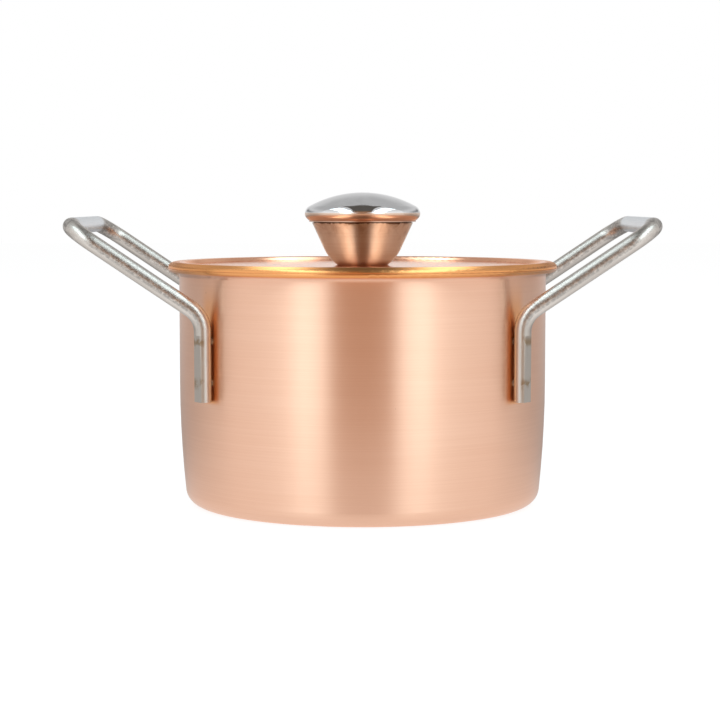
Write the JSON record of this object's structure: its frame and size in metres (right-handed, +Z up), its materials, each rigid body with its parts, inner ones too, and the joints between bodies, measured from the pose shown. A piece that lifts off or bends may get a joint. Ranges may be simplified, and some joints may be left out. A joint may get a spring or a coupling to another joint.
{
  "type": "lidded serving pot",
  "caption": "Small round copper serving pot lined with steel, with a lift-off recessed lid, a flared knob under a domed metal cap and upswept bent-wire loop handles.",
  "frame": {"origin": "middle of the flat base, on the surface that the pot stands on", "axes": "+Z up along the pot's axis, +X towards the right handle, +Y away from the front"},
  "size_m": [0.1406, 0.0954, 0.0764],
  "materials": {
    "brushed_copper": "copper, brushed round the pot, satin",
    "polished_copper": "copper, polished",
    "knob_copper": "copper, satin",
    "liner_steel": "stainless, satin",
    "handle_steel": "drawn wire, bright satin with fine scratches",
    "weld_metal": "heat tinted",
    "cap_chrome": "mirror",
    "fixing_steel": "plated"
  },
  "bodies": {
    "pot": {"pot_shell": "brushed_copper", "pot_liner": "liner_steel", "right_handle": "handle_steel", "left_handle": "handle_steel", "right_front_welds": "weld_metal", "right_rear_welds": "weld_metal", "left_front_welds": "weld_metal", "left_rear_welds": "weld_metal"},
    "lid": {"lid_shell": "polished_copper", "lid_liner": "liner_steel", "knob_cup": "knob_copper", "knob_cap": "cap_chrome", "knob_bush": "fixing_steel", "knob_screw": "fixing_steel", "screw_washer": "fixing_steel"}
  },
  "joints": [
    {"name": "lid_lift", "type": "slide", "parent": "pot", "child": "lid", "axis": [0, 0, 1], "range_m": [0, 0.09]}
  ]
}
